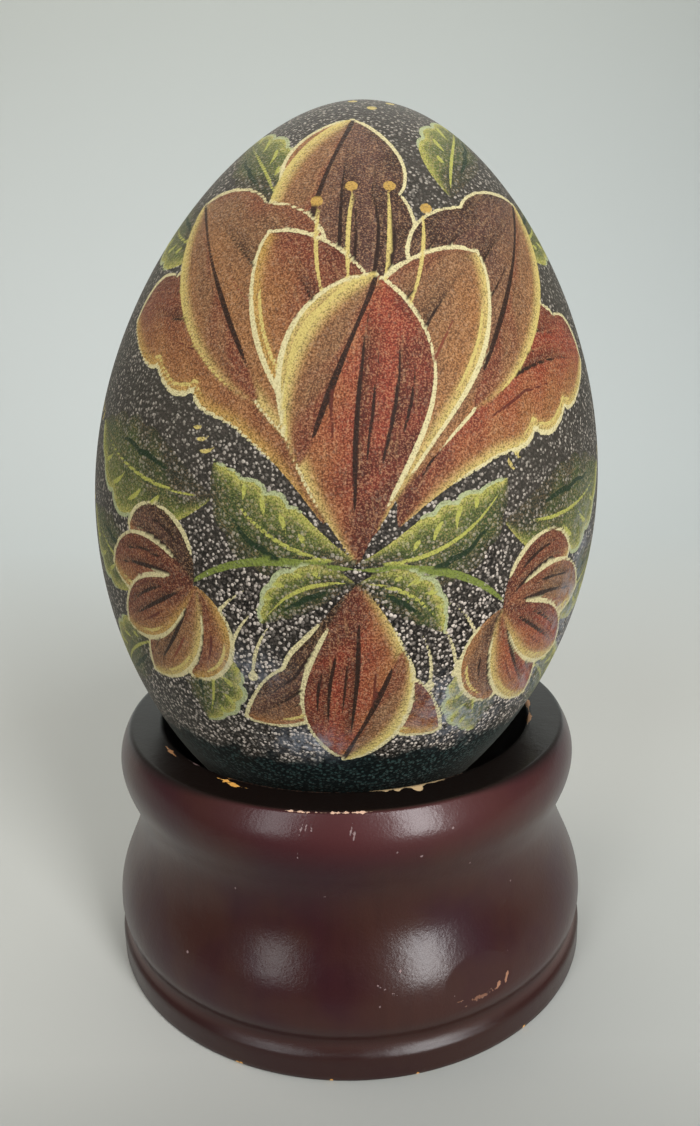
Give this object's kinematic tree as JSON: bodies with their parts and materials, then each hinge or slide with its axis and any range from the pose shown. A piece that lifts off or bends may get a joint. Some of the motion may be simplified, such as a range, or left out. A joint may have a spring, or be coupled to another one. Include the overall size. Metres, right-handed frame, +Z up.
{
  "type": "painted emu egg on a turned wooden stand",
  "caption": "Blown emu egg with a dark granular ground and painted folk flowers, standing point up in the dished seat of a round turned wooden display stand.",
  "frame": {"origin": "centre of the stand's flat underside, on the surface it stands on", "axes": "+Z up along the stand's turning axis, -Y towards the painted front, +X to the right seen from the front, the side the egg leans to"},
  "size_m": [0.0912, 0.0912, 0.1506],
  "materials": {
    "painted_shell": "matt paint over a granular dark green eggshell, left bare around the lower end",
    "stained_wood": "dark cherry stain under satin-gloss lacquer, chipped to bare wood along the top edges"
  },
  "bodies": {
    "root": {"egg": "painted_shell", "stand": "stained_wood"}
  },
  "joints": []
}
